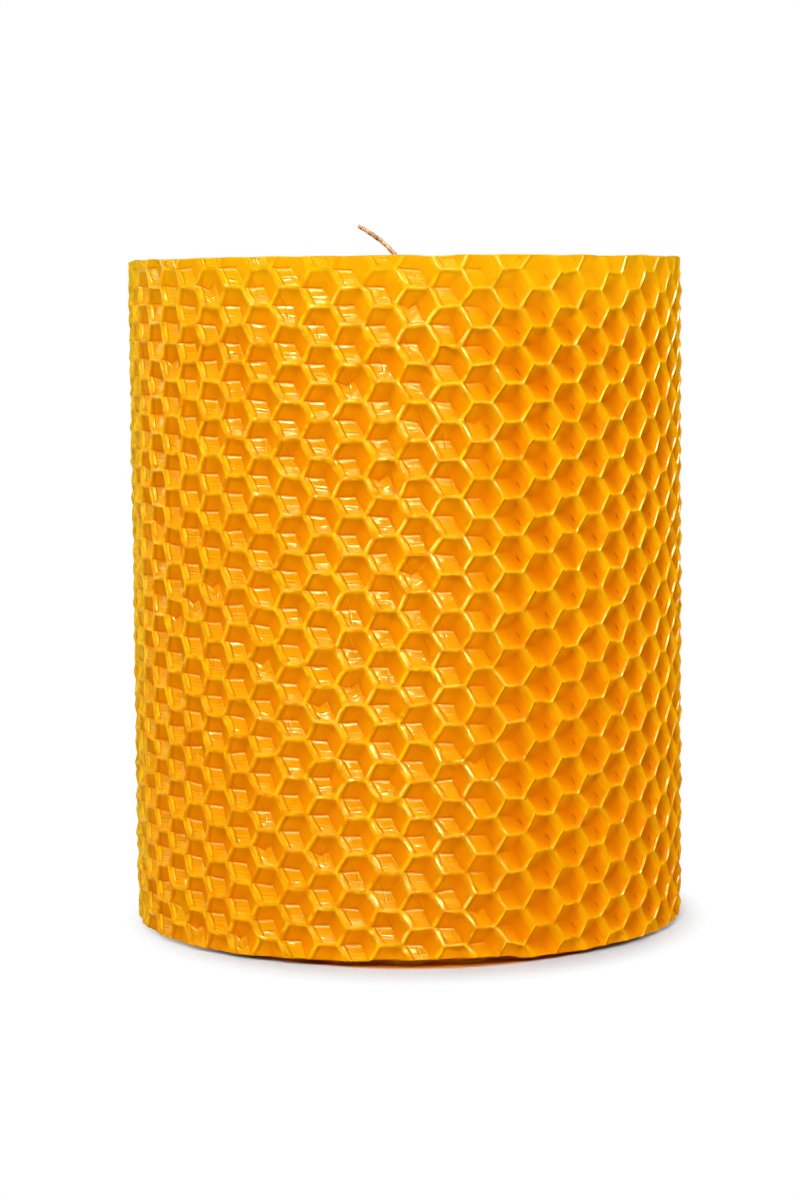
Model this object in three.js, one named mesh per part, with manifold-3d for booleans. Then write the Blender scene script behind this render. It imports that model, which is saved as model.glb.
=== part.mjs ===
// Honeycomb pillar candle: embossed beeswax strips rolled round a wick.
// Each strip is cut from a foundation sheet, laid end to end with the strip before it and wound on
// in one long spiral. The candle stands on +Z, its front faces -Y and the free end is at the back.
import * as THREE from 'three';
import { mergeVertices } from 'three/addons/utils/BufferGeometryUtils.js';
import Module from 'manifold-3d';

const wasm = await Module();
wasm.setup();

// Driving sizes in millimetres
const stripHeight = 99.6;
const stripLength = 350;
const innerStrips = 6;
const cellWidth = 5.3; // across the flats of one hexagon
const reliefDepth = 1.5; // from the rims down to the deepest point of a cell
const webThickness = 0.65;
const turnClearance = 0.3; // air between one turn and the next
const endClearance = 0.35; // air between the ends of two strips
const outerLap = 12; // how far the outer strip runs on past one full turn
const outerLift = 0.5; // height of the outer strip's bottom edge above the table
const innerLift = 0.25; // the same for every second inner strip
const wickDiameter = 1.3;
const wickClearance = 0.6;
const wickFoot = 1; // height of the wick's lower end above the table
const wickReach = 6; // sideways, to the tip
const wickRise = 5; // of the tip above the wax
const wickBend = 0.5; // depth below the wax at which the wick starts to lean
const frontColumn = 2.3; // along the sheet, from straight before the wick to the nearest column of cells
const frontCell = 2.7; // height of that column's lowest cell centre above the table

const waxMaterial = () => new THREE.MeshStandardMaterial({ color: 0xeb980c, roughness: 0.38, metalness: 0 });
const wickMaterial = () => new THREE.MeshStandardMaterial({ color: 0xb98a55, roughness: 0.85, metalness: 0 });

// The hexagons
const cellSide = cellWidth / Math.sqrt(3);
const columnPitch = 1.5 * cellSide;

// The winding: lengths along a strip are measured on its rims
const sheetThickness = reliefDepth + webThickness;
const turnPitch = sheetThickness + turnClearance;
const firstRadius = wickDiameter / 2 + wickClearance + sheetThickness;

function angleAt(length) {
  const reached = Math.sqrt(firstRadius ** 2 + (turnPitch * length) / Math.PI);
  return ((reached - firstRadius) * 2 * Math.PI) / turnPitch;
}

function radiusAt(length) {
  return firstRadius + (turnPitch * angleAt(length)) / (2 * Math.PI);
}

// Where each strip lies along the spiral
const innerSteps = Math.round(stripLength / cellSide);
const innerLength = innerSteps * cellSide;
const innerStarts = [];
for (let index = 0; index < innerStrips; index += 1) {
  innerStarts.push(index * (innerLength + endClearance));
}
const outerStart = innerStarts.length * (innerLength + endClearance);
const lastTurn = 2 * Math.PI * (radiusAt(outerStart) + turnPitch / 2);
const outerLength = lastTurn + outerLap;
const outerColumns = Math.ceil(outerLength / columnPitch);
const columnAt = (column) => outerStart + column * columnPitch;

// The roll is turned so that its free end is at the back and a column of cells is near the front
const frontIndex = Math.round((outerLength - lastTurn / 2) / columnPitch);
const frontLength = columnAt(frontIndex);
const rollTurn = frontColumn / radiusAt(frontLength) - angleAt(frontLength);

// Winds a point of a flat strip: length along it, depth below its rims, height
function roll(length, depth, height) {
  const radius = radiusAt(length) - depth;
  const angle = angleAt(length) + rollTurn;
  return [radius * Math.sin(angle), -radius * Math.cos(angle), height];
}

// Collects triangles and gives one closed geometry with its shared corners merged
class Skin {
  corners = [];

  triangle(a, b, c) {
    this.corners.push(...a, ...b, ...c);
  }

  quad(a, b, c, d) {
    this.triangle(a, b, c);
    this.triangle(a, c, d);
  }

  // Fills the band between two rows of points that both run the same way
  band(lower, upper, measure) {
    let i = 0;
    let j = 0;
    while (i < lower.length - 1 || j < upper.length - 1) {
      const nextLower = i < lower.length - 1 ? measure(lower[i + 1]) : Infinity;
      const nextUpper = j < upper.length - 1 ? measure(upper[j + 1]) : Infinity;
      if (nextLower <= nextUpper) {
        this.triangle(lower[i], lower[i + 1], upper[j]);
        i += 1;
      } else {
        this.triangle(lower[i], upper[j + 1], upper[j]);
        j += 1;
      }
    }
  }

  geometry(place) {
    const placed = [];
    for (let i = 0; i < this.corners.length; i += 3) {
      placed.push(...place(this.corners[i], this.corners[i + 1], this.corners[i + 2]));
    }
    const loose = new THREE.BufferGeometry();
    loose.setAttribute('position', new THREE.Float32BufferAttribute(placed, 3));
    return mergeVertices(loose, 1e-4);
  }
}

// An inner strip: the sheet's zigzag section, cut through the middle of a row of cells
function innerStrip(start, lift) {
  const skin = new Skin();
  const outerDepths = [reliefDepth, 0, reliefDepth / 2];
  const edge = (step) => {
    const length = start + step * cellSide;
    const outer = outerDepths[step % outerDepths.length];
    const inner = outer + webThickness;
    return {
      outerLow: [length, outer, lift],
      outerHigh: [length, outer, lift + stripHeight],
      innerLow: [length, inner, lift],
      innerHigh: [length, inner, lift + stripHeight],
    };
  };
  for (let step = 0; step < innerSteps; step += 1) {
    const a = edge(step);
    const b = edge(step + 1);
    skin.quad(a.outerLow, b.outerLow, b.outerHigh, a.outerHigh);
    skin.quad(a.innerLow, a.innerHigh, b.innerHigh, b.innerLow);
    skin.quad(a.outerHigh, b.outerHigh, b.innerHigh, a.innerHigh);
    skin.quad(a.outerLow, a.innerLow, b.innerLow, b.outerLow);
  }
  const first = edge(0);
  const last = edge(innerSteps);
  skin.quad(first.outerLow, first.outerHigh, first.innerHigh, first.innerLow);
  skin.quad(last.outerLow, last.innerLow, last.innerHigh, last.outerHigh);
  return skin.geometry(roll);
}

// The outer strip: a sheet of whole cells, cut to length, rolled and then trimmed level at both edges.
// Every cell is a pit with a floor of three rhombi, which meet at its deepest point.
const cornerAngles = [0, 60, 120, 180, 240, 300];

function cellCentre(column, row) {
  const shifted = Math.abs(column - frontIndex) % 2 === 1;
  return [columnAt(column), reliefDepth, frontCell + (row + (shifted ? 0.5 : 0)) * cellWidth];
}

// Corners alternate between the rims and half the depth, as the corners of the rhombi do
function cellCorner(centre, degrees) {
  const angle = THREE.MathUtils.degToRad(degrees);
  const depth = (degrees / 60) % 2 === 0 ? 0 : reliefDepth / 2;
  return [centre[0] + cellSide * Math.cos(angle), depth, centre[2] + cellSide * Math.sin(angle)];
}

function middle(a, b) {
  return a.map((value, axis) => (value + b[axis]) / 2);
}

function outerStrip() {
  const skin = new Skin();
  const firstRow = Math.floor((outerLift - frontCell) / cellWidth) - 1;
  const lastRow = Math.ceil((outerLift + stripHeight - frontCell) / cellWidth) + 1;
  const lowerEdge = [];
  const upperEdge = [];
  const endEdges = new Map([[0, []], [outerColumns, []]]);

  for (let column = 0; column <= outerColumns; column += 1) {
    for (let row = firstRow; row <= lastRow; row += 1) {
      const centre = cellCentre(column, row);
      const corners = cornerAngles.map((degrees) => cellCorner(centre, degrees));
      const top = middle(corners[1], corners[2]);
      const bottom = middle(corners[4], corners[5]);
      let ring = [...corners, corners[0]];
      if (column === 0) {
        ring = [bottom, corners[5], corners[0], corners[1], top];
      }
      if (column === outerColumns) {
        ring = [top, corners[2], corners[3], corners[4], bottom];
      }
      for (let i = 0; i < ring.length - 1; i += 1) {
        skin.triangle(centre, ring[i], ring[i + 1]);
      }
      if (endEdges.has(column)) {
        endEdges.get(column).push(bottom, centre);
        if (row === lastRow) endEdges.get(column).push(top);
      }
      const left = column === 0 ? [bottom, top] : [corners[4], corners[2]];
      const right = column === outerColumns ? [bottom, top] : [corners[5], corners[1]];
      if (row === firstRow) lowerEdge.push(left[0], right[0]);
      if (row === lastRow) upperEdge.push(left[1], right[1]);
    }
  }

  // The inner face is ribbed: it follows the pits, and lies higher between two columns
  const ribDepth = reliefDepth * 0.65 + webThickness;
  const innerLow = [];
  const innerHigh = [];
  for (let half = 0; half <= 2 * outerColumns; half += 1) {
    const length = outerStart + (half * columnPitch) / 2;
    const depth = half % 2 === 0 ? sheetThickness : ribDepth;
    innerLow.push([length, depth, lowerEdge[0][2]]);
    innerHigh.push([length, depth, upperEdge[0][2]]);
  }
  for (let half = 0; half < 2 * outerColumns; half += 1) {
    skin.quad(innerLow[half], innerHigh[half], innerHigh[half + 1], innerLow[half + 1]);
  }
  const along = (point) => point[0];
  skin.band(innerLow, lowerEdge, along);
  skin.band(upperEdge, innerHigh, along);

  // The two straight ends
  endEdges.forEach((edge, column) => {
    const half = 2 * column;
    const outline = [...edge, innerHigh[half], innerLow[half]];
    const flat = outline.map((point) => new THREE.Vector2(point[1], point[2]));
    const isFreeEnd = column > 0;
    THREE.ShapeUtils.triangulateShape(flat, []).forEach(([a, b, c]) => {
      const facesStart = THREE.ShapeUtils.isClockWise([flat[a], flat[b], flat[c]]);
      const order = facesStart === isFreeEnd ? [a, c, b] : [a, b, c];
      skin.triangle(...order.map((corner) => outline[corner]));
    });
  });

  const sheet = solid(skin.geometry((...point) => point));
  const cut = sheet.trimByPlane([-1, 0, 0], -(outerStart + outerLength));
  const rolled = cut.warp((point) => point.splice(0, 3, ...roll(...point)));
  const aboveBottom = rolled.trimByPlane([0, 0, 1], outerLift);
  return surface(aboveBottom.trimByPlane([0, 0, -1], -(outerLift + stripHeight)));
}

// Between three.js geometry and solids that can be cut
function solid(geometry) {
  const bare = geometry.clone();
  bare.deleteAttribute('normal');
  bare.deleteAttribute('uv');
  const merged = mergeVertices(bare, 1e-4);
  const mesh = new wasm.Mesh({
    numProp: 3,
    vertProperties: Float32Array.from(merged.attributes.position.array),
    triVerts: Uint32Array.from(merged.index.array),
  });
  return new wasm.Manifold(mesh);
}

function surface(body) {
  const mesh = body.getMesh();
  const geometry = new THREE.BufferGeometry();
  geometry.setAttribute('position', new THREE.BufferAttribute(mesh.vertProperties, 3));
  geometry.setIndex(new THREE.BufferAttribute(mesh.triVerts, 1));
  return geometry;
}

// The wick: straight up through the core, then leaning over to its tip
function wick() {
  const wax = innerLift + stripHeight;
  const bend = new THREE.Vector3(0, 0, wax - wickBend);
  const tip = new THREE.Vector3(-wickReach, 0, wax + wickRise);
  const lean = new THREE.Vector3(-wickReach / 4, 0, wax + wickRise / 3);
  const path = new THREE.CurvePath();
  path.add(new THREE.LineCurve3(new THREE.Vector3(0, 0, wickFoot), bend));
  path.add(new THREE.QuadraticBezierCurve3(bend, lean, tip));
  const section = new THREE.Shape().absarc(0, 0, wickDiameter / 2, 0, 2 * Math.PI);
  const steps = Math.round(path.getLength() / (2.5 * wickDiameter));
  return new THREE.ExtrudeGeometry(section, { steps, curveSegments: 4, extrudePath: path });
}

function piece(name, geometry, material) {
  const mesh = new THREE.Mesh(geometry, material);
  mesh.name = name;
  return mesh;
}

const candle = new THREE.Group();
candle.add(piece('wick', wick(), wickMaterial()));
innerStarts.forEach((start, index) => {
  const raised = (innerStarts.length - 1 - index) % 2 === 1;
  const geometry = innerStrip(start, raised ? innerLift : 0);
  candle.add(piece(`wax_strip_${index + 1}`, geometry, waxMaterial()));
});
candle.add(piece('outer_wax_strip', outerStrip(), waxMaterial()));

// The origin is on the table, under the middle of the whole candle
const span = new THREE.Box3().setFromObject(candle);
const centre = span.getCenter(new THREE.Vector3());
candle.position.set(-centre.x, -centre.y, 0);
candle.updateMatrixWorld(true);

export default candle;
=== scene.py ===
# %% [markdown]
# A rolled beeswax candle
#
# The candle is made from sheets of beeswax that are embossed with honeycomb cells and rolled up round a
# wick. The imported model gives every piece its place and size. It could be dressed with a bump map alone,
# but the cells break up the outline and catch the light one by one, so here they are real relief in the
# mesh.

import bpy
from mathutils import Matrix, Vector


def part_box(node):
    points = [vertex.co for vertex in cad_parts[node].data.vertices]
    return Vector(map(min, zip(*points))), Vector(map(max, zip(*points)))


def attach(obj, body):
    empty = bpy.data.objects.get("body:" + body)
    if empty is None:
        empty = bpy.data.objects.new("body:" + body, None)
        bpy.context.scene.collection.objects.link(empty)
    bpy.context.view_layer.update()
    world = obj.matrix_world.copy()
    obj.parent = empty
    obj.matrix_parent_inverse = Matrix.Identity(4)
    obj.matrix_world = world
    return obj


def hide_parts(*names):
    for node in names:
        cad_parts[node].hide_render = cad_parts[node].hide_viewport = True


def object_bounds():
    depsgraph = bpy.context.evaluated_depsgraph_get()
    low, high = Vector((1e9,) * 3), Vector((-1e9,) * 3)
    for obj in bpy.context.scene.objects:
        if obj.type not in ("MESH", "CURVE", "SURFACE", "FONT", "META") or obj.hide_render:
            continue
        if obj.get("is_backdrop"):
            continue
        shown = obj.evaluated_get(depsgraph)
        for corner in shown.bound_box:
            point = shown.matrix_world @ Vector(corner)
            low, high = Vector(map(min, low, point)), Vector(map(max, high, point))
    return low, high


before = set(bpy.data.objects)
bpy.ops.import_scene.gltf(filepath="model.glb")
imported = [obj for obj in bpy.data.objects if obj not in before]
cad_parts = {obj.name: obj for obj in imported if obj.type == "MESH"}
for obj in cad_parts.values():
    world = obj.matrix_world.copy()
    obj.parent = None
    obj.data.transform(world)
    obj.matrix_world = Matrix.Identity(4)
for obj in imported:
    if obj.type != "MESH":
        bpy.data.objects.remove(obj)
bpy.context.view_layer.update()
print("nodes:", sorted(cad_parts))

# %% [markdown]
# The roll
#
# On the real candle each sheet bends round the one before it, so all of them follow one long spiral. The
# finer pieces could be fitted to the CAD solids by eye. Instead the spiral's own formulas are repeated here
# from the same few sizes, in millimetres. The straight part of the wick stands on the roll's axis, so its
# box gives the axis, and a check against the outer strip's box shows that the spirals agree.

# %% Sizes of the strips, the cells and the wick
import bmesh
import bpy
import numpy as np
from mathutils import Matrix, Vector

MM = 0.001
strip_height = 99.6
strip_length = 350
inner_strips = 6
cell_width = 5.3
relief_depth = 1.5
web_thickness = 0.65
turn_clearance = 0.3
end_clearance = 0.35
outer_lap = 12
outer_lift = 0.5
inner_lift = 0.25
wick_diameter = 1.3
wick_clearance = 0.6
front_column = 2.3
front_cell = 2.7

cell_side = cell_width / np.sqrt(3)
column_pitch = 1.5 * cell_side
sheet_thickness = relief_depth + web_thickness
turn_pitch = sheet_thickness + turn_clearance
first_radius = wick_diameter / 2 + wick_clearance + sheet_thickness
print("sheet %.2f mm thick, a turn every %.2f mm" % (sheet_thickness, turn_pitch))

# %% Where a length along the spiral lies
def angle_at(length):
    reached = np.sqrt(first_radius**2 + turn_pitch * length / np.pi)
    return (reached - first_radius) * 2 * np.pi / turn_pitch


def radius_at(length):
    return first_radius + turn_pitch * angle_at(length) / (2 * np.pi)


inner_length = round(strip_length / cell_side) * cell_side
strip_starts = [i * (inner_length + end_clearance) for i in range(inner_strips + 1)]
outer_start = strip_starts[inner_strips]
last_turn = 2 * np.pi * (radius_at(outer_start) + turn_pitch / 2)
outer_length = last_turn + outer_lap
front_index = round((outer_length - last_turn / 2) / column_pitch)
front_length = outer_start + front_index * column_pitch
roll_turn = front_column / radius_at(front_length) - angle_at(front_length)

wick_low, wick_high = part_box("wick")
axis_x = wick_high.x / MM - wick_diameter / 2
axis_y = (wick_low.y + wick_high.y) / 2 / MM


def roll(length, depth, height):
    """Winds points of the flat strip, given in millimetres, into the frame in metres."""
    radius = radius_at(length) - depth
    angle = angle_at(length) + roll_turn
    wound = [axis_x + radius * np.sin(angle), axis_y - radius * np.cos(angle), height + 0 * angle]
    return np.stack(wound, axis=-1) * MM


rims = roll(outer_start + np.linspace(0, outer_length, 400), 0, strip_height)
sheet_low, sheet_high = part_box("outer_wax_strip")
print("spiral against CAD, mm:", np.round((rims.max(0) - np.array(sheet_high))[:2] / MM, 2))

# %% [markdown]
# The relief of the wax
#
# A wax foundation is pressed between engraved rollers. Each cell is a pit whose floor is three rhombi that
# meet at its deepest point, and a thin rounded rim stands along the sides of the hexagon. One function
# gives the depth at any place in a cell, so that the rolled sheets inside and the sheet outside have the
# same embossing. Two of the six walls are wider and softer than the others, as the photograph shows.

# %% Depth below the rims, anywhere in a cell
rim_width = 0.5
rim_flat = 0.08
rim_dip = 0.24
floor_drop = 0.42
high_corners = np.radians([0, 120, 240])
side_normals = np.radians([30, 90, 150, 210, 270, 330])
wall_stretch = np.array([1.3, 1, 1, 1.3, 1, 1])


def smoothstep(x):
    x = np.clip(x, 0, 1)
    return x * x * (3 - 2 * x)


def distance_in(x, y):
    """How far in from the nearest side of its cell a point lies. The two wide walls count for less."""
    return np.min([(cell_width / 2 - x * np.cos(a) - y * np.sin(a)) / stretch
                   for a, stretch in zip(side_normals, wall_stretch)], axis=0)


def corner_share(x, y):
    """1 in a high corner of the cell, a half in a low corner and 0 in the middle."""
    return np.max([x * np.cos(a) + y * np.sin(a) for a in high_corners], axis=0) / cell_side


def relief(x, y, deeper=1.0):
    """Depth in millimetres at a point that lies x and y from the middle of its cell."""
    lean = corner_share(x, y)
    inset = distance_in(x, y)
    crest = 2 * rim_dip * (1 - lean)
    floor = floor_drop + (relief_depth - floor_drop) * (1 - lean) * deeper
    return crest + (floor - crest) * smoothstep((inset - rim_flat) / (rim_width - rim_flat))


print("depths: rim corner %.2f, low rim corner %.2f, middle %.2f mm" % tuple(
    relief(x, y) for x, y in ((cell_side, 0), (cell_side / 2, cell_width / 2), (0, 0))))

# %% [markdown]
# Small irregularities
#
# Pressed wax is never quite even: rims are worn, edges waver and cells sit a little off their places.
# Random numbers alone would look like sand. A few long waves with random headings, added up, stay smooth.
# Each use has its own seed, so the candle comes out the same every time.

# %% Smooth seeded irregularity over the flat sheet
def ripple(u, v, wave, seed):
    """A gentle random surface between -1 and 1, with bumps about `wave` millimetres long."""
    dice = np.random.default_rng(seed)
    total = 0
    for _ in range(7):
        heading, phase = dice.uniform(0, 2 * np.pi, 2)
        length = wave * dice.uniform(0.7, 1.6)
        total = total + np.sin((u * np.cos(heading) + v * np.sin(heading)) * 2 * np.pi / length + phase)
    return np.clip(total / 3.2, -1, 1)


print("ripple at three places:", np.round(ripple(np.array([0, 3, 6]), 0, 9, 5), 2))

# %% [markdown]
# Shader arithmetic
#
# A finish is a small calculation at every point of the surface. In Blender's editor that is a web of nodes.
# The class below lets the same nodes be written as ordinary sums, which are shorter to read and to change.

# %% A wire that adds Math nodes when it meets an operator
class Wire:
    """An output of a node. A sum of wires is a new wire, from the Math node that works it out."""

    def __init__(self, recipe, socket):
        self.recipe = recipe
        self.socket = socket

    def math(self, operation, *others):
        return self.recipe.sum(operation, self, *others)

    def __add__(self, other):
        return self.recipe.sum("ADD", self, other)

    def __radd__(self, other):
        return self.recipe.sum("ADD", other, self)

    def __sub__(self, other):
        return self.recipe.sum("SUBTRACT", self, other)

    def __rsub__(self, other):
        return self.recipe.sum("SUBTRACT", other, self)

    def __mul__(self, other):
        return self.recipe.sum("MULTIPLY", self, other)

    def __rmul__(self, other):
        return self.recipe.sum("MULTIPLY", other, self)


print("a wire knows + - and *, with a number on either side")

# %% A recipe that holds one material's nodes
class Recipe:
    """The nodes of one material or of the sky, added one by one."""

    def __init__(self, tree):
        self.tree = tree
        self.tree.nodes.clear()

    def node(self, kind, settings=None, inputs=None, output=0):
        made = self.tree.nodes.new(kind)
        for name, value in (settings or {}).items():
            setattr(made, name, value)
        for name, value in (inputs or {}).items():
            if isinstance(value, Wire):
                self.tree.links.new(value.socket, made.inputs[name])
            else:
                made.inputs[name].default_value = value
        return Wire(self, made.outputs[output]) if len(made.outputs) else None

    def sum(self, operation, *values):
        return self.node("ShaderNodeMath", {"operation": operation}, dict(enumerate(values)))

    def axis(self, vector, index):
        return self.node("ShaderNodeSeparateXYZ", inputs={0: vector}, output=index)

    def noise(self, place, scale, detail):
        return self.node("ShaderNodeTexNoise", {"noise_dimensions": "3D"},
                         {"Vector": place, "Scale": scale, "Detail": detail})

    def mix(self, amount, first, second):
        return self.node("ShaderNodeMix", {"data_type": "RGBA"}, {0: amount, 6: first, 7: second}, 2)

    def blend(self, amount, first, second):
        return self.node("ShaderNodeMixShader", inputs={0: amount, 1: first, 2: second})

    def step(self, value, low, high):
        """0 below low, 1 above high and a soft slope between them."""
        return self.node("ShaderNodeMapRange", {"interpolation_type": "SMOOTHSTEP"},
                         {0: value, 1: low, 2: high})

    def slope(self, value, low, high):
        """0 below low, 1 above high and a straight slope between them."""
        return self.node("ShaderNodeMapRange", inputs={0: value, 1: low, 2: high})

    def band(self, value, low, high, soft):
        """1 between low and high, 0 outside, with soft edges."""
        return self.step(value, low - soft, low + soft) - self.step(value, high - soft, high + soft)


def new_recipe(name):
    material = bpy.data.materials.new(name)
    material.use_nodes = True
    return material, Recipe(material.node_tree)


print("shader helpers ready")

# %% [markdown]
# Beeswax
#
# Beeswax lets some light in, so its thin rims look yellow and its deep pits orange; here that is painted
# into the colour, as painted light on the rims and painted shade in the pits. The engraved rollers leave a
# small flat plate with fine steps on the lower left floor of each cell, and handling has rubbed the left
# edge of this candle into streaks, whose pale colour is a painted highlight. A picture laid over the sheet
# could show all this, but it would fit one size only. So the marks are drawn with sums, placed by the cell
# coordinates that the mesh carries.
#
# Lengths inside a cell are counted in cell sides from its middle, and a side lies `side_reach` away from
# there. Lengths on the candle are in metres.

# %% Read the cell coordinates, the depth and the dice of each cell
wax, r = new_recipe("beeswax")
cell = r.node("ShaderNodeAttribute", {"attribute_name": "cell"}, output=1)
dice = r.node("ShaderNodeAttribute", {"attribute_name": "chance"}, output=1)
depth = r.node("ShaderNodeAttribute", {"attribute_name": "depth"}, output=2)
place = r.node("ShaderNodeTexCoord", output=3)
across, upward = r.axis(cell, 0), r.axis(cell, 1)
chance, second_chance, third_chance = (r.axis(dice, i) for i in range(3))
sideways, height = r.axis(place, 0), r.axis(place, 2)
print("wax reads cell, chance and depth")

# %% Noises, from slow patches to fine grain
patches = r.noise(place, 60.0, 3.0)
swell = r.noise(place, 380.0, 1.0)
wander = r.noise(place, 700.0, 1.0)
mottle = r.noise(place, 900.0, 2.0)
grain = r.noise(place, 1400.0, 2.0)
drawn_out = r.node("ShaderNodeVectorMath", {"operation": "MULTIPLY"}, {0: place, 1: (1, 1, 0.12)})
streaks = r.noise(drawn_out, 1100.0, 1.0)
print("noises ready")

# %% Colours of the wax
# The floor colour is the wax's own, and the darker tone also serves for patches of darker wax. The others
# paint light and shade: painted shade in the pits, at the foot, on walls, in thin lines, small creases and
# grooves, painted light on the rims, the top and the plates, and painted highlights on the rubbed edge, on
# some rims, on the ridges and along the plates' upper edges.
painted_light_colour = (0.98, 0.5, 0.003, 1)
floor_colour = (0.87, 0.315, 0.0008, 1)
tone_and_shade_colour = (0.79, 0.205, 0.0004, 1)
pit_shade_colour = (0.6, 0.12, 0.0004, 1)
slanted_rim_light_colour = (1.0, 0.64, 0.004, 1)
shaded_wall_colour = (0.66, 0.13, 0.0004, 1)
shade_line_colour = (0.44, 0.055, 0.0002, 1)
crease_shade_colour = (0.42, 0.05, 0.0002, 1)
rubbed_edge_highlight_colour = (1.0, 0.62, 0.03, 1)
rim_highlight_colour = (1.0, 0.78, 0.12, 1)
groove_shade_colour = (0.7, 0.14, 0.0005, 1)
ridge_highlight_colour = (1.0, 0.6, 0.003, 1)
top_edge_highlight_colour = (1.0, 0.8, 0.28, 1)
print("thirteen colours of wax")

# %% [markdown]
# Rims and pits
#
# On the photographed candle the two halves look different. On the left the rollers' plates show strongly in
# the bump, and all the rims are yellow with painted light. On the right the plates are faint, the pits are
# darker with painted shade, one pair of walls is a broad soft band of painted light, and the rims that lean
# to the right have a thin dark line of painted shade beside them. The same cells could be lit differently to
# show that, but no lamp gives the thin lines, so they are coloured.

# %% Rims, walls and halves
side_reach = 0.866


def towards(degrees):
    """How far a point lies from the middle of its cell in one direction, counted from its right."""
    angle = np.radians(degrees)
    return across * np.cos(angle) + upward * np.sin(angle)


def rim_of(distance, start, full):
    """0 in the pit and 1 on the rim. The slope starts and ends at these distances in from the side."""
    return r.step(distance, side_reach - start, side_reach - full)


wide_side, level_side, slanted_side = (towards(a).math("ABSOLUTE") for a in (30, 90, 150))
outward = (wide_side * 0.77 + 0.2).math("MAXIMUM", level_side).math("MAXIMUM", slanted_side)
upper_left = towards(150)
# Weights of the halves. The left one sets how strong the plates' bump is and where painted light falls on
# the left; the right one sets where painted shade and painted light fall on the right.
on_left = 1 - r.step(sideways, 0.004, 0.018)
pressed_and_lit_half = on_left * 0.92 + 0.08
right_half_light_and_shade = 1 - pressed_and_lit_half
rim = rim_of(outward, 0.13, 0.05)
# Rims of the right half that get painted light below.
narrow_rims = rim_of(level_side.math("MAXIMUM", slanted_side), 0.1, 0.04)
lit_slanted_rim = rim_of(slanted_side, 0.1, 0.04) * r.step(wander, 0.35, 0.6)
soft_band = rim_of(wide_side, 0.34, 0.1) * 0.65
print("rims found,", len(wax.node_tree.nodes), "nodes so far")

# %% Colour the pits and the rims, with painted shade in the deep pits and painted light on the rims
uneven = r.step(wander, 0.3, 0.65)
# Painted shade: the deeper a pit, the darker, and darker still on the right half.
tint = r.mix(r.step(depth, 0.5, 1.4) * 0.8, floor_colour, tone_and_shade_colour)
tint = r.mix(r.step(depth, 0.6, 1.4) * right_half_light_and_shade * 0.75, tint, pit_shade_colour)
# Painted light makes the rims yellow: all of them on the left, and on the right the narrow rims and the
# broad soft band.
tint = r.mix(rim * uneven * pressed_and_lit_half, tint, painted_light_colour)
tint = r.mix((narrow_rims * uneven).math("MAXIMUM", soft_band) * right_half_light_and_shade, tint, painted_light_colour)
# Painted light on some of the rims that lean to the right.
tint = r.mix(lit_slanted_rim * 0.8, tint, slanted_rim_light_colour)
print("pits and rims coloured")

# %% Paint shade on the walls, and the thin dark shade lines and small crease shade marks of the right half
shaded_wall = r.step(upper_left, 0.6, 0.7) * (1 - rim)
tint = r.mix(shaded_wall * 0.5, tint, shaded_wall_colour)
shade_line = r.step(upper_left, 0.735, 0.775) * (1 - r.step(upper_left, 0.825, 0.845)) * right_half_light_and_shade
tint = r.mix(shade_line * r.step(wander, 0.3, 0.5) * 0.95, tint, shade_line_colour)
# Small dark marks along one crease of some cells on the right half: painted shade.
crease_shade = r.band(towards(30) - second_chance * 0.1, 0.08, 0.15, 0.03) * r.band(towards(-60), 0.28, 0.58, 0.07)
tint = r.mix(crease_shade * r.step(chance, 0.35, 0.4) * right_half_light_and_shade * 0.85, tint, crease_shade_colour)
print("walls shaded, lines and marks drawn")

# %% Patches of darker wax, painted shade at the foot, painted light at the top and painted highlights on the rubbed left edge
tint = r.mix(r.step(patches, 0.4, 0.7) * 0.25, tint, tone_and_shade_colour)
# Painted shade darkens the foot, and painted light pales the top.
tint = r.mix((1 - r.step(height, 0.0, 0.07)) * 0.16, tint, tone_and_shade_colour)
tint = r.mix(r.step(height, 0.086, 0.1005) * 0.5, tint, painted_light_colour)
# Pale streaks over the rubbed left edge: painted highlights.
rubbed_edge_highlight = 1 - r.step(sideways, -0.0412, -0.0372)
tint = r.mix(rubbed_edge_highlight * (0.3 + r.step(streaks, 0.45, 0.6) * 0.6), tint, rubbed_edge_highlight_colour)
print("patches, foot, top and left edge coloured")

# %% Painted highlights on some rims near the middle of the candle
near_middle = r.band(sideways, -0.012, 0.012, 0.003)
rim_highlight = r.step(towards(-30), 0.75, 0.8) * r.band(towards(60), -0.3, 0.32, 0.08) * near_middle
rim_highlight = rim_highlight * r.step(chance, 0.62, 0.66)
tint = r.mix(rim_highlight * 0.85, tint, rim_highlight_colour)
print("strokes drawn")

# %% [markdown]
# The plates
#
# The rollers' plate is a flat patch over most of the lower left rhombus. Its upper edge stands up, fine
# steps cross it, a ridge runs down its left side and a groove lies above it. A few cells were pressed badly
# and have it bent. All of it is less than 0.2 mm high. In the mesh it would take many times as many points,
# so it goes into the bump, and the mesh keeps the rhombus itself. The colour paints light onto the plate's
# upper part and its ridge, shade into the groove, and the one crisp line of light along the upper edge is a
# painted highlight.

# %% Places on the lower left rhombus of a cell
along_left = upward * (-1 / np.sqrt(3)) - across + (wander - 0.5) * 0.14
down_right = upward * (-2 / np.sqrt(3)) + (wander - 0.5) * 0.1
odd_cell = r.step(third_chance, 0.9, 0.91)
down_right = down_right + odd_cell * ((along_left - 0.4).math("ABSOLUTE") * 0.6 - 0.15)
print("plate coordinates ready")

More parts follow.
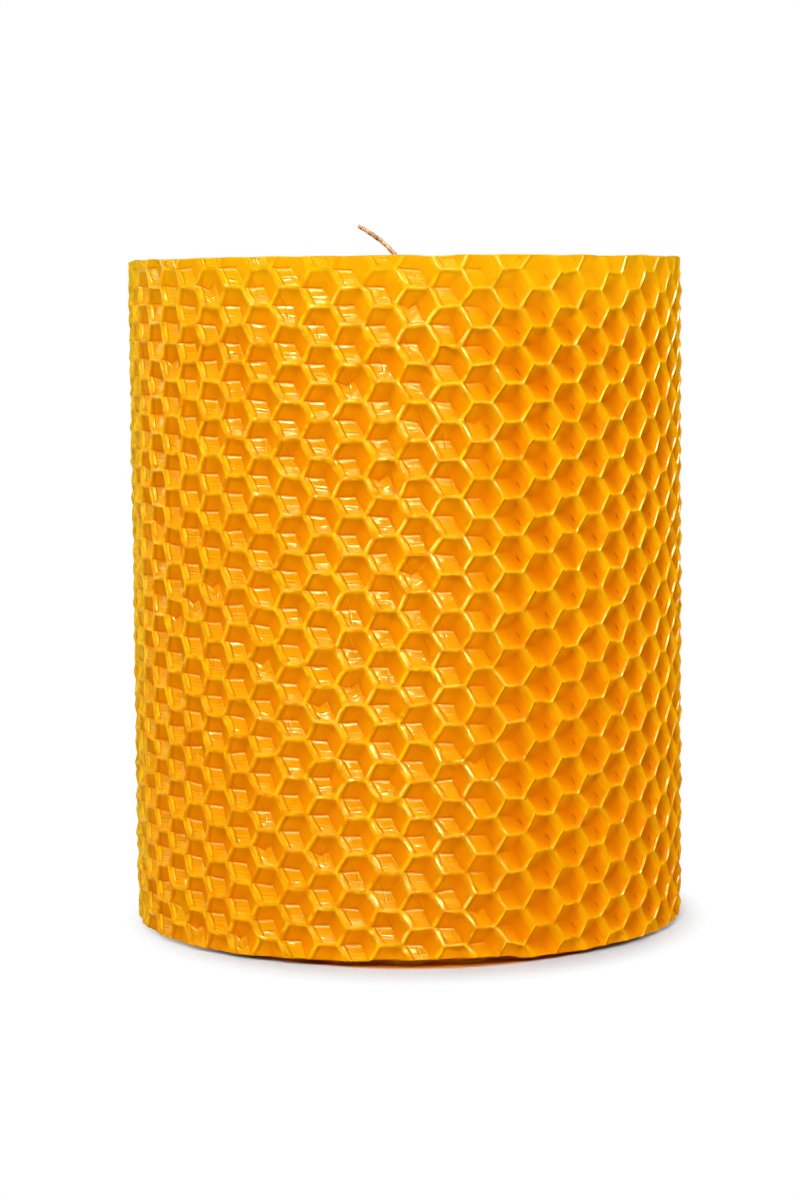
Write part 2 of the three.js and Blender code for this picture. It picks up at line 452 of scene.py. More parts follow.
# %% The plate, its steps, the ridge beside it and the groove above it
plate_right = second_chance * 0.1 - 0.12
plate_area = r.step(along_left - plate_right, 0.0, 0.06) * (1 - r.step(along_left, 0.64, 0.72))
plate_area = plate_area * (1 - r.step(down_right, 0.88, 1.0))
plate = plate_area * r.slope(down_right, 0.01, 0.14)
first_notch = r.band(down_right - second_chance * 0.12, 0.33, 0.42, 0.04)
second_notch = r.band(down_right + third_chance * 0.1, 0.6, 0.69, 0.04)
third_notch = r.band(down_right - chance * 0.06, 0.77, 0.84, 0.035)
broken = r.step(along_left - second_chance * 0.6, 0.0, 0.08)
notches = first_notch * (0.1 + third_chance * 0.3) + second_notch * broken * 0.3 + third_notch * 0.1
ridge = r.slope(along_left, 0.74, 0.81) - r.slope(along_left, 0.84, 0.9)
ridge = ridge * (1 - r.step(down_right, 0.65, 0.85)) * r.step(down_right, -0.05, 0.05)
groove = r.band(down_right, -0.09, -0.03, 0.03) * r.band(along_left, -0.1, 0.85, 0.06)
print("plate drawn")

# %% Scratches of single cells, and all the bump of the wax
slash = across * 0.97 + upward * 0.25 + 0.45 - chance * 0.9
scratch = r.band(slash, -0.035, 0.035, 0.025) * r.band(upward, -0.6, 0.5, 0.1)
scratch = scratch * r.step(third_chance, 0.55, 0.6)
inside = r.step(depth, 0.25, 0.5)
carved = (plate * (1 - notches) + ridge * 0.85 - groove * 0.4 + scratch * 0.5) * inside
surface = carved * pressed_and_lit_half * 0.85 + swell * 0.2 + grain * 0.12
bump_height = 0.00018
bump = r.node("ShaderNodeBump", inputs={"Strength": 1.0, "Distance": bump_height, "Height": surface})
print("bump at most %.2f mm high" % (bump_height / MM))

# %% Colour the plates: painted shade in the groove, painted light on the plate and its ridge, and a painted highlight along its upper edge
# Where the plates get painted light and shade: in the pits, and mostly on the left.
plate_light_and_shade_zone = inside * pressed_and_lit_half
tint = r.mix(groove * plate_light_and_shade_zone * 0.6, tint, groove_shade_colour)
tint = r.mix(plate_area * r.step(down_right, 0.0, 0.1) * plate_light_and_shade_zone * 0.35, tint, painted_light_colour)
tint = r.mix(ridge * plate_light_and_shade_zone * 0.7, tint, ridge_highlight_colour)
# A painted highlight along the plate's upper edge.
top_edge_highlight = plate_area * r.band(down_right, 0.03, 0.09, 0.025) * inside * (1 - odd_cell)
top_edge_highlight = top_edge_highlight * r.step(sideways, -0.036, -0.028) * (1 - r.step(sideways, 0.004, 0.012))
tint = r.mix(top_edge_highlight * (0.35 + second_chance * 0.45), tint, top_edge_highlight_colour)
print("plates coloured")

# %% [markdown]
# Dull and polished wax
#
# Only the pressed and worn places of the wax shine: the crests of the rims, the plates and the ridges. One
# glossy wax for everything would lay a grey veil over the pits. So there are two finishes with the same
# colour, bump and glow, a dull one that mirrors nothing and a polished one, and a mask mixes them.

# %% The mask of the polished places
printed_part = plate_area * r.step(down_right, -0.03, 0.0) * (1 - r.step(down_right, 0.55, 0.8) * 0.7)
facing_lamps = r.step(sideways, -0.0405, -0.034) * (1 - r.step(sideways, -0.002, 0.010))
crest = rim_of(outward, 0.1, 0.05) * on_left * r.step(sideways, -0.0415, -0.038)
slanted_crest = rim_of(slanted_side, 0.1, 0.05) * (1 - on_left)
polished = (crest + slanted_crest).math("MAXIMUM", printed_part.math("MAXIMUM", ridge) * facing_lamps)
print("polished places found")

# %% The dull and the polished wax, mixed by the mask
wax_sheen = (1.0, 0.86, 0.36, 1)
shared = {"Base Color": tint, "Normal": bump, "IOR": 1.44,
          "Subsurface Weight": 0.2, "Subsurface Radius": (1.0, 0.4, 0.05), "Subsurface Scale": 0.0005}
walked = {"subsurface_method": "RANDOM_WALK"}
dull_wax = r.node("ShaderNodeBsdfPrincipled", walked, {
    **shared, "Roughness": 0.6, "Specular IOR Level": 0.0})
bright_wax = r.node("ShaderNodeBsdfPrincipled", walked, {
    **shared, "Roughness": 0.1 + mottle * 0.08, "Specular IOR Level": 0.026, "Specular Tint": wax_sheen})
r.node("ShaderNodeOutputMaterial", inputs={"Surface": r.blend(polished, dull_wax, bright_wax)})
print("beeswax:", len(wax.node_tree.nodes), "nodes")

# %% [markdown]
# The outer sheet
#
# This is the sheet that everyone sees. It is drawn flat, as a patch of whole cells, then cut to size and
# rolled, which is how the real one is made. Each cell repeats one pattern of points: rings that follow the
# hexagon, close together on the rim, where the surface bends most, and far apart on the flat floor.

# %% One cell's points and faces
side_parts = 3
ring_insets = (0, 0.2, 0.36, 0.52)
normals = np.stack([np.cos(side_normals), np.sin(side_normals)], axis=-1)


def ring_at(inset):
    """Points round the cell, at one distance in from its sides."""
    reach = cell_width / 2 - inset * wall_stretch
    corners = [np.linalg.solve(normals[[i - 1, i]], reach[[i - 1, i]]) for i in range(6)]
    return [corners[i] + (corners[(i + 1) % 6] - corners[i]) * j / side_parts
            for i in range(6) for j in range(side_parts)]


cell_points = np.array([point for inset in ring_insets for point in ring_at(inset)] + [(0, 0)])
around = 6 * side_parts
cell_faces = []
for ring in range(len(ring_insets) - 1):
    for i in range(around):
        a, b = ring * around + i, ring * around + (i + 1) % around
        cell_faces += [(a, b, b + around), (a, b + around, a + around)]
last_ring = (len(ring_insets) - 1) * around
cell_faces += [(last_ring + i, last_ring + (i + 1) % around, len(cell_points) - 1) for i in range(around)]
cell_faces = np.array(cell_faces)
print("a cell has", len(cell_points), "points and", len(cell_faces), "faces")

# %% Lay the cells out over the flat sheet
row_drop = -0.0109    # the rows of cells climb a little round the candle
edge_round = 0.1
bottom, top = outer_lift + edge_round, outer_lift + strip_height - edge_round
columns = np.arange(-1, int(outer_length / column_pitch) + 3)
middles = []
for column in columns:
    u = column * column_pitch
    shift = front_cell + cell_width / 2 * ((column - front_index) % 2)
    rows = np.arange(np.floor((bottom - shift) / cell_width) - 2, np.ceil((top - shift) / cell_width) + 3)
    middles += [(u, shift + row * cell_width) for row in rows]
middles = np.array(middles)
front = front_index * column_pitch - front_column
dice_rolls = np.random.default_rng(41).uniform(0, 1, (len(middles), 3))
flat = middles[:, None, :] + cell_points[None, :, :]
u, v = flat[..., 0], flat[..., 1]
v = v + row_drop * (u - front_index * column_pitch)
print(len(middles), "cells laid out")

# %% Give every point its depth, with small differences from cell to cell
own = dice_rolls[:, None, :]
own_tilt, shallowest, own_depth, rim_zone = 0.06, 0.93, 0.07, 0.6
x, y = cell_points.T
tilt = (own[..., 0] - 0.5) * own_tilt * x[None, :] + (own[..., 1] - 0.5) * own_tilt * y[None, :]
inset = distance_in(x, y)
depths = relief(x, y, shallowest + own_depth * own[..., 2])
depths = depths + tilt * smoothstep(inset / 1.0)[None, :]
on_rim = 1 - smoothstep(inset / rim_zone)
wear = 0.10 + 0.06 * ripple(u, v, 9, 5) + 0.06 * ripple(u, v, 3, 6)
depths = np.clip(depths + wear * on_rim[None, :], 0.01, relief_depth)
print("depths from %.2f to %.2f mm" % (depths.min(), depths.max()))

# %% Let the rims dip between their corners where they make the candle's outline
outline_start, outline_sag = 48, 0.32
sag = 2 * (1 - corner_share(x, y)) * on_rim
depths = depths + outline_sag * sag[None, :] * smoothstep((np.abs(u - front) - outline_start) / 8)
print("rims dip from %.0f mm beside the front" % outline_start)

# %% [markdown]
# The cells of a used candle aren't all whole. Thumbs and shelves leave creases, the left side of this one
# is rubbed, the cut edges are pressed flat by the knife, and the free end is pressed onto the roll. All this
# could be sculpted by hand, but then it would be lost with every change of a size. So each fault is a sum
# that pulls the depths towards an even value. Their places are read from the photograph, in millimetres
# beside the middle of the front and above the table.

# %% Creases and the rubbed side
creases = ((-0.3, 71.5, 0.5, 8.5), (22.8, 75.5, 0.5, 2), (-1.1, 98, 0.8, 3),
           (-40.4, 6, 2.5, 0.5), (-37, 2, 1.2, 1.2))
crease_depth, crease_strength = 0.3, 0.85
for beside, high, half_width, half_height in creases:
    bent = np.exp(-((u - front - beside) / half_width) ** 4 - ((v - high) / half_height) ** 4)
    depths = depths + (crease_depth - depths) * bent * crease_strength
rubbed_at, rubbed_half = -62, 9
rubbing = 0.25 + 0.15 * ripple(u, 0.15 * v, 3, 31)
crushed = np.exp(-((u - front - rubbed_at) / rubbed_half) ** 4) * rubbing
streaked = 0.5 + 0.35 * ripple(u, 0.12 * v, 2.4, 32)
depths = depths * (1 - crushed) + streaked * crushed
print(len(creases), "creases, and a side rubbed by up to %.0f %%" % (100 * crushed.max()))

# %% The flattened edges, the pressed end and cells a little off their places
flat_depth, relief_lost, end_push = 0.35, 0.35, 0.75
near_top = smoothstep((v - top + 5) / 4.5) * 0.7
near_bottom = smoothstep((bottom + 1.6 - v) / 1.5) * 0.65
flattened = np.maximum(near_top, near_bottom)
depths = depths * (1 - flattened) + flat_depth * flattened
press = smoothstep((u - outer_length + 4) / 4)
depths = depths * (1 - relief_lost * press) + end_push * press
slow_shift, quick_shift = 0.14, 0.12
u_moved = u + slow_shift * ripple(u, v, 14, 7) + quick_shift * ripple(u, v, 3.4, 8)
v_moved = v + slow_shift * ripple(u, v, 14, 9) + quick_shift * ripple(u, v, 3.4, 10)
print("cells moved by up to %.2f mm" % np.hypot(u_moved - u, v_moved - v).max())

# %% Build the flat patch
points = np.stack([u_moved, v_moved, depths], axis=-1).reshape(-1, 3)
faces = (cell_faces[None, :, :] + len(cell_points) * np.arange(len(middles))[:, None, None]).reshape(-1, 3)
patch = bpy.data.meshes.new("outer_sheet")
patch.vertices.add(len(points))
patch.vertices.foreach_set("co", points.astype(np.float32).ravel())
patch.loops.add(faces.size)
patch.loops.foreach_set("vertex_index", faces.astype(np.int32).ravel())
patch.polygons.add(len(faces))
patch.polygons.foreach_set("loop_start", np.arange(0, faces.size, 3, dtype=np.int32))
patch.update(calc_edges=True)
local = np.concatenate([cell_points / cell_side, np.zeros((len(cell_points), 1))], axis=1)
corner_places = np.tile(local[cell_faces].reshape(-1, 3), (len(middles), 1))
face_dice = np.repeat(dice_rolls, len(cell_faces), axis=0)
for name, domain, values in (("cell", "CORNER", corner_places), ("chance", "FACE", face_dice)):
    carried = patch.attributes.new(name, "FLOAT_VECTOR", domain)
    carried.data.foreach_set("vector", values.astype(np.float32).ravel())
print("flat patch:", len(points), "points,", len(faces), "faces")

# %% Merge the points that cells share and cut the sheet to size
shared_within = 0.002
work = bmesh.new()
work.from_mesh(patch)
bmesh.ops.remove_doubles(work, verts=work.verts, dist=shared_within)
for point, normal in (((0, 0, 0), (-1, 0, 0)), ((outer_length, 0, 0), (1, 0, 0)),
                      ((0, bottom, 0), (0, -1, 0)), ((0, top, 0), (0, 1, 0))):
    everything = [*work.verts, *work.edges, *work.faces]
    bmesh.ops.bisect_plane(work, geom=everything, plane_co=point, plane_no=normal,
                           clear_outer=True, dist=1e-4)
bmesh.ops.remove_doubles(work, verts=work.verts, dist=shared_within)
print("flat sheet:", len(work.verts), "points,", len(work.faces), "faces")

# %% [markdown]
# The cut edges
#
# A knife leaves plain cut faces, and the back of the sheet shows the pits as ribs. A Solidify modifier
# could give the patch its thickness, but it would copy every cell to the back, where nobody looks. So rows
# of new points carry the edges over the cut face and onto a back with broad ribs.

# %% Give the sheet its cut edges and its inner face
cut_bevel = 0.1
back_margin = 2.0


def edge_chain(axis, value):
    """The points on one straight edge of the sheet, in order."""
    found = [p for p in work.verts if abs(p.co[axis] - value) < 1e-3]
    return sorted(found, key=lambda p: p.co[1 - axis])


def inner_depth(u):
    """Depth of the ribbed inner face: under a column of pits it is deepest."""
    between = abs((u / column_pitch + 0.5) % 1 - 0.5) * 2
    return sheet_thickness - 0.35 * relief_depth * between


def rows_behind(chain, outward):
    """Rows of new points that carry an edge of the sheet over its cut face and onto its inner face."""
    made = [chain]
    for lift, behind in ((edge_round, cut_bevel), (edge_round, web_thickness - cut_bevel),
                         (0, web_thickness), (-back_margin, None)):
        row = []
        for p in chain:
            depth = inner_depth(p.co.x) if behind is None else p.co.z + behind
            row.append(work.verts.new((p.co.x, p.co.y + outward * lift, min(depth, sheet_thickness))))
        made.append(row)
    return made


def join_rows(first, second):
    """Fills the strip between two rows of points with quads."""
    for i in range(len(first) - 1):
        work.faces.new((first[i], first[i + 1], second[i + 1], second[i]))


start_chain, end_chain = edge_chain(0, 0), edge_chain(0, outer_length)
low_rows = rows_behind(edge_chain(1, bottom), -1)
high_rows = rows_behind(edge_chain(1, top), 1)
for rows in (low_rows, high_rows):
    for first, second in zip(rows, rows[1:]):
        join_rows(first, second)
print("cut edges of", len(low_rows[0]), "and", len(high_rows[0]), "points")

# %% Close the inner face and the two ends
sharp_angle = np.radians(50)
low, high = low_rows[-1], high_rows[-1]
i = j = 0
while i < len(low) - 1 or j < len(high) - 1:
    if j == len(high) - 1 or (i < len(low) - 1 and low[i + 1].co.x <= high[j + 1].co.x):
        work.faces.new((low[i], low[i + 1], high[j]))
        i += 1
    else:
        work.faces.new((low[i], high[j + 1], high[j]))
        j += 1
for chain, k in ((start_chain, 0), (end_chain, -1)):
    back = [row[k] for row in high_rows[1:]] + [row[k] for row in reversed(low_rows[1:])]
    work.faces.new(chain + back)
bmesh.ops.holes_fill(work, edges=[edge for edge in work.edges if edge.is_boundary], sides=4)
bmesh.ops.recalc_face_normals(work, faces=work.faces)
bmesh.ops.reverse_faces(work, faces=work.faces)
for edge in work.edges:
    near_cut = any(p.co.y < bottom + 0.01 or p.co.y > top - 0.01 or p.co.x > outer_length - 0.01
                   for p in edge.verts)
    if near_cut and edge.calc_face_angle(0) > sharp_angle:
        edge.smooth = False
open_edges = sum(not e.is_manifold for e in work.edges)
print("closed sheet:", len(work.faces), "faces,", open_edges, "open edges")

# %% [markdown]
# Rolling it up
#
# The real sheet is warmed until it bends and is then rolled round the others. A Simple Deform modifier
# could bend the flat one, but only to a circle, and the roll is a spiral. So each point goes through the
# spiral's formula.

# %% Let the cut edges waver
waver_reach = 9


def edge_waver(u, v):
    """Moves the cut edges up and down a little, and lifts the lower one where the next sheet shows."""
    along = u - front
    near_bottom = 1 - smoothstep((v - outer_lift) / waver_reach)
    near_top = smoothstep((v - outer_lift - strip_height + waver_reach) / waver_reach)
    raised = smoothstep((along + 5.5) / 1.0) * (1 - smoothstep((along - 15) / 2.5))
    half_raised = smoothstep((along + 25) / 5) * (1 - smoothstep((along + 5.5) / 1.0))
    lifted = 0.12 + 0.06 * ripple(u, 0 * u, 26, 11) + 0.05 * ripple(u, 0 * u, 7, 12)
    lifted = lifted + 0.55 * raised + 0.2 * half_raised
    lowered = 0.2 + 0.1 * ripple(u, 0 * u, 24, 13) + 0.09 * ripple(u, 0 * u, 8, 14)
    return near_bottom * lifted - near_top * lowered


print("lower edge lifted by %.2f mm at the front" % edge_waver(np.array([front]), np.array([outer_lift]))[0])

# %% Roll the sheet
def put_in_scene(name, data):
    """A new object in the scene, for a mesh, a lamp or a camera."""
    made = bpy.data.objects.new(name, data)
    bpy.context.scene.collection.objects.link(made)
    return made


work.verts.ensure_lookup_table()
work.to_mesh(patch)
work.free()
flat_points = np.empty(len(patch.vertices) * 3, dtype=np.float32)
patch.vertices.foreach_get("co", flat_points)
u, v, depths = flat_points.reshape(-1, 3).T.astype(float)
rolled = roll(outer_start + u, depths, v + edge_waver(u, v))
patch.vertices.foreach_set("co", rolled.astype(np.float32).ravel())
patch.attributes.new("depth", "FLOAT", "POINT").data.foreach_set("value", depths.astype(np.float32))
patch.materials.append(wax)
patch.update()
outer_sheet = put_in_scene("outer_sheet", patch)
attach(outer_sheet, "root")
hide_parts("outer_wax_strip")
print("outer sheet spans, mm:", np.round((rolled.max(0) - rolled.min(0)) / MM, 2))

# %% [markdown]
# The sheets inside
#
# From above the candle shows the cut edges of all its turns. The strips inside carry the same embossing,
# but only their last few millimetres can be seen, so their grids are fine there and coarse over the hidden
# middle.

# %% Depth of the embossing at any point of a flat strip
def sheet_depth(u, v):
    """Depth at a place of the flat sheet, from the cell whose middle is nearest."""
    nearest = np.full(np.shape(u), np.inf)
    local = np.zeros((2, *np.shape(u)))
    left_column = np.floor(u / column_pitch)
    for column in (left_column, left_column + 1):
        shift = cell_width / 2 * (column % 2)
        row = np.round((v - shift) / cell_width)
        offset = np.stack([u - column * column_pitch, v - shift - row * cell_width])
        apart = np.hypot(*offset)
        local = np.where(apart < nearest, offset, local)
        nearest = np.minimum(apart, nearest)
    return relief(*local)


print("deepest point of a flat strip: %.2f mm" % sheet_depth(0.0, 0.0))

# %% A strip as a closed grid, rolled up
levels = np.array([0, 0.12, 0.5, 0.95, 1.5, 2.1, 2.7, 3.6, 4.6, 6])
inner_step = cell_side / 4
bevel_depth = 0.1


def closed_grid(n, m):
    """Faces of a thin grid of n by m points: its outside, its inside and the four edges between them."""
    at = np.arange(n * m).reshape(n, m)
    back = at + n * m
    quads = [np.stack([at[:-1, :-1], at[1:, :-1], at[1:, 1:], at[:-1, 1:]], -1).reshape(-1, 4),
             np.stack([back[:-1, :-1], back[:-1, 1:], back[1:, 1:], back[1:, :-1]], -1).reshape(-1, 4),
             np.stack([at[:-1, -1], at[1:, -1], back[1:, -1], back[:-1, -1]], -1),
             np.stack([at[:-1, 0], back[:-1, 0], back[1:, 0], at[1:, 0]], -1),
             np.stack([at[0, :-1], at[0, 1:], back[0, 1:], back[0, :-1]], -1),
             np.stack([at[-1, :-1], back[-1, :-1], back[-1, 1:], at[-1, 1:]], -1)]
    return np.concatenate(quads).tolist()


def strip_points(index):
    """Rolled points of one strip, outside and then inside, with their depths and the size of the grid."""
    lift = inner_lift if (inner_strips - 1 - index) % 2 else 0
    heights = lift + np.concatenate([levels, strip_height - levels[::-1]])
    lengths = np.linspace(0, inner_length, int(round(inner_length / inner_step)) + 1)
    u, v = np.meshgrid(lengths, heights, indexing="ij")
    worn = sheet_depth(u, v) + 0.08 + 0.06 * ripple(u + 37 * index, v, 9, 21)
    worn = np.clip(worn, 0, relief_depth)
    edge = np.minimum(v - heights[0], heights[-1] - v)
    bevel = bevel_depth * (edge < 0.05)
    outside = roll(strip_starts[index] + u, worn + bevel, v)
    inside = roll(strip_starts[index] + u, worn + web_thickness - bevel, v)
    return np.concatenate([outside.reshape(-1, 3), inside.reshape(-1, 3)]), worn, u.shape


print("levels up to %.0f mm from each edge, and a point every %.2f mm" % (levels[-1], inner_step))

# %% The six strips
def inner_strip(index):
    points, worn, (n, m) = strip_points(index)
    name = f"rolled_sheet_{index + 1}"
    mesh = bpy.data.meshes.new(name)
    mesh.from_pydata(points.tolist(), [], closed_grid(n, m))
    mesh.attributes.new("depth", "FLOAT", "POINT").data.foreach_set(
        "value", np.tile(worn.ravel(), 2).astype(np.float32))
    mesh.materials.append(wax)
    mesh.shade_smooth()
    mesh.set_sharp_from_angle(angle=np.radians(38))
    piece = put_in_scene(name, mesh)
    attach(piece, "root")
    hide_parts(f"wax_strip_{index + 1}")
    return piece


inner_pieces = [inner_strip(index) for index in range(inner_strips)]
print(len(inner_pieces), "strips inside, each", len(inner_pieces[0].data.polygons), "faces")

# %% [markdown]
# The wick
#
# A candle wick is plaited from cotton strands and dipped in wax, so it is stiff, a little translucent and
# browner in its hollows. One tube would look like wire. Three strands wound round each other give the
# plaited outline, and they thin out and part at the tip. They follow the path of the CAD wick. Because they
# are thinner than it, they may bend a little further inside its outline, as the photographed wick does.

# %% Cotton finish
cotton, r = new_recipe("waxed_cotton")
place = r.node("ShaderNodeTexCoord", output=3)
fibres = r.noise(place, 2600.0, 3.0)
stain = r.noise(place, 500.0, 2.0)
waxed_colour = (0.8, 0.5, 0.22, 1)
soaked_colour = (0.5, 0.24, 0.07, 1)
bare_colour = (0.85, 0.6, 0.33, 1)
thread = r.mix(r.step(stain, 0.35, 0.65), waxed_colour, soaked_colour)
thread = r.mix(r.step(fibres, 0.5, 0.7) * 0.4, thread, bare_colour)
bump = r.node("ShaderNodeBump", inputs={"Strength": 0.8, "Distance": 0.00008, "Height": fibres})
cotton_shader = r.node("ShaderNodeBsdfPrincipled", inputs={
    "Base Color": thread, "Roughness": 0.5 + fibres * 0.25, "Specular IOR Level": 0.02, "Normal": bump})
r.node("ShaderNodeOutputMaterial", inputs={"Surface": cotton_shader})
print("waxed cotton:", len(cotton.node_tree.nodes), "nodes")

# %% The wick's path
wick_foot, wick_reach, wick_rise, wick_bend = 1, 6, 5, 0.5
past_reach, past_rise = 0.3, 0.15
wax_top = inner_lift + strip_height
bend = np.array([0, 0, wax_top - wick_bend])
pull = np.array([-wick_reach / 4, 0, wax_top + wick_rise / 2])
tip = np.array([-wick_reach - past_reach, 0, wax_top + wick_rise + past_rise])


def wick_path(steps):
    """Points up the core and over to the tip, in millimetres from the roll's axis."""
    rise = np.linspace(0, 1, 60)[:-1, None]
    straight = np.array([0, 0, wick_foot]) * (1 - rise) + bend * rise
    t = np.linspace(0, 1, steps)[:, None]
    return np.concatenate([straight, bend * (1 - t) ** 2 + pull * 2 * t * (1 - t) + tip * t**2])


line = wick_path(60)
run = np.concatenate([[0], np.cumsum(np.linalg.norm(np.diff(line, axis=0), axis=1))])
fine = np.linspace(0, run[-1], 900)
line = np.stack([np.interp(fine, run, line[:, i]) for i in range(3)], axis=-1)
print("wick path %.1f mm long" % run[-1])

# %% A tube along a line of points
def ways_beside(line):
    """Two directions at right angles to a line of points and to each other, at each of its points."""
    along = np.gradient(line, axis=0)
    along /= np.linalg.norm(along, axis=1)[:, None]
    one_way = np.cross(along, (0, 1, 0))
    one_way /= np.linalg.norm(one_way, axis=1)[:, None]
    return one_way, np.cross(along, one_way)


def tube(centres, radii, sides=8):
    """A closed tube along a line of points, as a list of points and faces."""
    one_way, other_way = ways_beside(centres)
    turn = np.linspace(0, 2 * np.pi, sides, endpoint=False)
    rings = centres[:, None] + radii[:, None, None] * (
        one_way[:, None] * np.cos(turn)[None, :, None] + other_way[:, None] * np.sin(turn)[None, :, None])
    at = np.arange(len(centres) * sides).reshape(len(centres), sides)
    following = np.roll(at, -1, axis=1)
    faces = np.stack([at[:-1], following[:-1], following[1:], at[1:]], -1).reshape(-1, 4).tolist()
    return rings.reshape(-1, 3), faces + [at[0][::-1].tolist(), at[-1].tolist()]


print("a tube of two points has", len(tube(line[:2], np.ones(2))[1]), "faces")

# %% Three strands wound round each other
strands, lay_length, strand_radius, strand_spread = 3, 4.2, 0.21, 0.14
one_way, other_way = ways_beside(line)
points, faces = [], []
for strand in range(strands):
    twist = (fine * 2 * np.pi / lay_length + strand * 2 * np.pi / strands)[:, None]
    to_end = run[-1] - fine
    spread = strand_spread + 0.03 * np.sin(fine * 1.7 + strand) + 0.04 * smoothstep(1 - to_end / 1.2)
    centres = line + spread[:, None] * (one_way * np.cos(twist) + other_way * np.sin(twist))
    radii = strand_radius * (1 - 0.5 * smoothstep(1 - to_end / (0.7 + 0.3 * strand)))
    ring_points, ring_faces = tube(centres, radii)
    offset = sum(len(p) for p in points)
    points.append(ring_points)
    faces += [[offset + k for k in face] for face in ring_faces]
points = (np.concatenate(points) + [axis_x, axis_y, 0]) * MM
wick_mesh = bpy.data.meshes.new("plaited_wick")
wick_mesh.from_pydata(points.tolist(), [], faces)
wick_mesh.materials.append(cotton)
wick_mesh.shade_smooth()
wick = put_in_scene("plaited_wick", wick_mesh)
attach(wick, "root")
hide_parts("wick")
print("wick:", len(faces), "faces, top at %.2f mm" % (points[:, 2].max() / MM))

# %% [markdown]
# Table, light and camera
#
# A candle for a catalogue is photographed on a white table in soft light. Lamps that made the table quite
# white would burn out the wax, so the table and the sky glow white by themselves, and only for the camera.
# Close to the candle the camera sees paper: a darker grey one, painted shadow that deepens the candle's
# real one, and an orange one below the lifted lower edge, painted light from the wax in that shadow. The
# other rays always meet pale paper, so the candle gets its light back from below.

# %% Which rays see the table and the sky
def seen_directly(recipe):
    """1 for rays that show the surroundings, also mirrored, and 0 for rays that carry soft light."""
    from_camera, mirrored, through = (recipe.node("ShaderNodeLightPath", output=f"Is {kind} Ray")
                                      for kind in ("Camera", "Glossy", "Transmission"))
    return recipe.node("ShaderNodeMath", {"operation": "ADD", "use_clamp": True},
                       {0: from_camera + mirrored, 1: through})


print("rays sorted")

# %% A white table that keeps the shadow
white_table, r = new_recipe("white_table")
pale_paper = r.node("ShaderNodeBsdfDiffuse", inputs={"Color": (0.76, 0.82, 0.86, 1)})
# For the camera near the candle: a darker paper as painted shadow, and an orange one under the lifted edge
# as painted light through the wax.
painted_shadow_paper = r.node("ShaderNodeBsdfDiffuse", inputs={"Color": (0.62, 0.675, 0.715, 1)})
painted_wax_light_paper = r.node("ShaderNodeBsdfDiffuse", inputs={"Color": (0.7, 0.22, 0.02, 1)})
bright = r.node("ShaderNodeEmission", inputs={"Color": (1, 1, 1, 1), "Strength": 1.0})
shadow_middle, shadow_half = (0.0012, 0, 0), (0.0452, 0.0545)
spot = r.node("ShaderNodeTexCoord", output=3)
spot = r.node("ShaderNodeVectorMath", {"operation": "SUBTRACT"}, {0: spot, 1: shadow_middle})
spot = r.node("ShaderNodeVectorMath", {"operation": "MULTIPLY"},
              {0: spot, 1: (1 / shadow_half[0], 1 / shadow_half[1], 0)})
away = r.node("ShaderNodeVectorMath", {"operation": "LENGTH"}, {0: spot}, output=1)
shaded_paper = r.blend(r.step(away, 0.765, 0.8), painted_wax_light_paper, painted_shadow_paper)
shown = r.blend(r.step(away, 0.8, 1.0), shaded_paper, bright)
r.node("ShaderNodeOutputMaterial", inputs={"Surface": r.blend(seen_directly(r), pale_paper, shown)})
reach = 4.0
table_corners = [(-reach, -reach, 0), (reach, -reach, 0), (reach, reach, 0), (-reach, reach, 0)]
table_mesh = bpy.data.meshes.new("table")
table_mesh.from_pydata(table_corners, [], [(0, 1, 2, 3)])
table_mesh.materials.append(white_table)
table = put_in_scene("table", table_mesh)
table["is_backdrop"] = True
print("table: %.0f m across" % (2 * reach))

# %% An even sky
world = bpy.data.worlds.new("studio")
world.use_nodes = True
bpy.context.scene.world = world
r = Recipe(world.node_tree)
sky = r.node("ShaderNodeBackground", inputs={"Color": (1, 1, 1, 1), "Strength": 0.35})
white = r.node("ShaderNodeBackground", inputs={"Color": (1, 1, 1, 1), "Strength": 1.0})
r.node("ShaderNodeOutputWorld", inputs={"Surface": r.blend(seen_directly(r), sky, white)})
print("sky ready")

# %% [markdown]
# Two kinds of lamps light the wax. Three soft ones give it its colour and its gentle shading. A
# photographer would let the same lamps make the highlights. Here the plates and the crests face so many
# ways that this would take a room full of light. So six more lamps stand just where the polished places of
# each part of the candle mirror them, and they give the wax no other light.

# %% A lamp from its place, its aim, its size and its power
def lamp(name, place, aim, width, height, watts):
    light = bpy.data.lights.new(name, "AREA")
    light.shape = "RECTANGLE"
    light.size, light.size_y = width, height
    light.energy = watts
    made = put_in_scene(name, light)
    made.location = place
    made.rotation_euler = (Vector(aim) - Vector(place)).to_track_quat("-Z", "Y").to_euler()
    return made


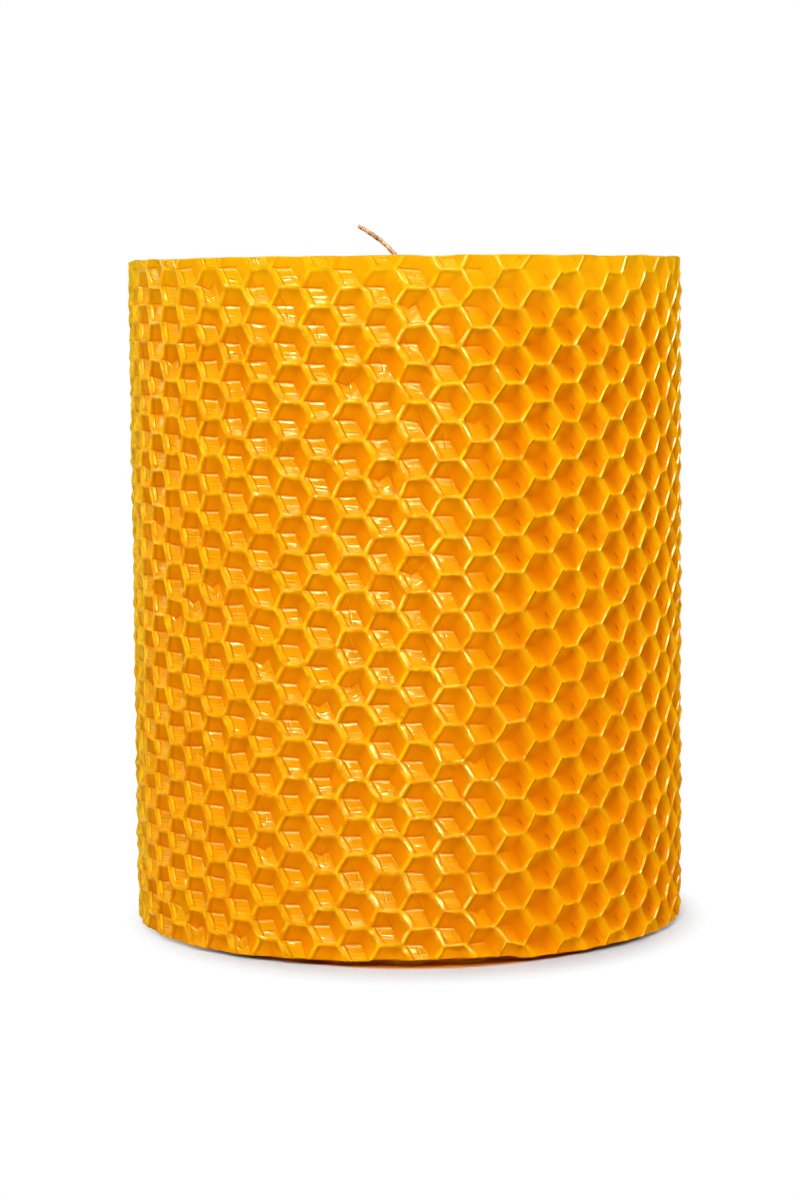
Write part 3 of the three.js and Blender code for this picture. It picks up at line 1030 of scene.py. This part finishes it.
candle_middle = (0, 0, 0.05)
right_of_middle = (0.03, 0, 0.05)
soft_lamps = [lamp("key", (-0.02, -0.43, 0.48), candle_middle, 0.14, 0.26, 2.5),
              lamp("right", (0.5, -0.2, 0.35), candle_middle, 0.12, 0.2, 0.72),
              lamp("left", (-0.5, -0.1, 0.3), candle_middle, 0.12, 0.2, 0.6)]
for soft in soft_lamps:
    soft.visible_glossy = False
print(len(soft_lamps), "soft lamps")

# %% Lamps that only make the wax sparkle
sparkle_lamps = [
    lamp("sparkle overhead", (-0.02, -0.255, 0.58), (-0.02, -0.03, 0.05), 0.28, 0.13, 110),
    lamp("sparkle above the left", (-0.27, -0.185, 0.58), (-0.18, -0.006, 0.05), 0.22, 0.13, 90),
    lamp("sparkle in front", (-0.11, -0.45, 0.474), (0, -0.04, 0.05), 0.4, 0.03, 16),
    lamp("first sparkle on the right", (0.27, -0.45, 0.265), right_of_middle, 0.37, 0.06, 45),
    lamp("second sparkle on the right", (0.53, -0.175, 0.256), right_of_middle, 0.37, 0.16, 230),
    lamp("sparkle on the left", (-0.55, 0.25, 0.18), (-0.03, 0, 0.05), 0.1, 0.2, 1.5)]
for sparkle in sparkle_lamps:
    sparkle.visible_diffuse = False
print(len(sparkle_lamps), "sparkle lamps")

# %% [markdown]
# The camera looks slightly down on the candle from the front, as in the photograph. Its distance, its lens
# and its three small angles come from a fit to the candle's outline and to the rims of its cells.

# %% The camera
camera_place = Vector((0, -0.4817, 0.0931))
film_width, lens_length = 36, 95.02
pitch, yaw, roll_angle = np.radians(5.324), np.radians(-0.13), -0.00844
forward = Vector((np.sin(yaw) * np.cos(pitch), np.cos(yaw) * np.cos(pitch), -np.sin(pitch)))
right = Vector((np.cos(yaw), -np.sin(yaw), 0))
up = right.cross(forward)
level = np.sqrt(1 - roll_angle**2)
right, up = right * level + up * roll_angle, up * level - right * roll_angle
camera_data = bpy.data.cameras.new("camera")
camera_data.sensor_width = film_width
camera_data.lens = lens_length
camera = put_in_scene("camera", camera_data)
turned = Matrix((right, up, -forward)).transposed().to_4x4()
camera.matrix_world = Matrix.Translation(camera_place) @ turned
bpy.context.scene.camera = camera
bpy.context.scene.view_settings.view_transform = "Standard"
print("camera %.0f mm from the middle of the candle's foot" % (camera_place.length / MM))

# %% The dressed candle's box, and finish
low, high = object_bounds()
print("visual box in metres:", [round(x, 5) for x in (*low, *high)])
